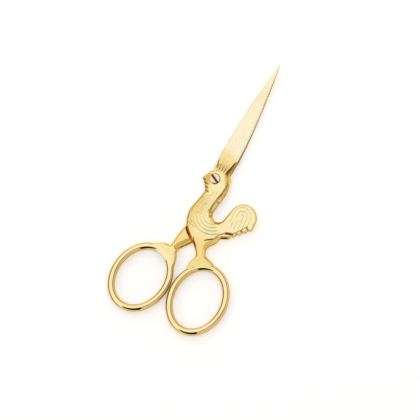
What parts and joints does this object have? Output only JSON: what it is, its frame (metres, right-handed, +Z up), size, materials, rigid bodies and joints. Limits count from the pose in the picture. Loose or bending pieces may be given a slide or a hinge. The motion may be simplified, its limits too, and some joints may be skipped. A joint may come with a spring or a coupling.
{
  "type": "embroidery scissors",
  "caption": "Small gold-plated embroidery scissors with a cockerel figure between blade and finger bow; forged halves crossed on a slotted pivot screw.",
  "frame": {"origin": "middle of the bottom of the bounding box, on the surface that the closed scissors lie on", "axes": "+Y along the closed blades towards the tips, +Z up through the thickness, cockerel side up, +X to the right seen from above"},
  "size_m": [0.0466, 0.1102, 0.0039],
  "materials": {
    "gold_plate": "polished gold plating over forged steel",
    "screw_steel": "bright turned steel"
  },
  "bodies": {
    "rear": {"rear_half": "gold_plate"},
    "front": {"front_half": "gold_plate"},
    "screw": {"pivot_screw": "screw_steel"}
  },
  "joints": [
    {"name": "blade_pivot", "type": "hinge", "parent": "rear", "child": "front", "pos_m": [-0.00496, 0.00516, 0.00175], "axis": [0, 0, 1], "range_deg": [0, 70]},
    {"name": "screw_turn", "type": "hinge", "parent": "rear", "child": "screw", "pos_m": [-0.00496, 0.00516, 0.00175], "axis": [0, 0, 1], "range_deg": [-90, 90]}
  ]
}
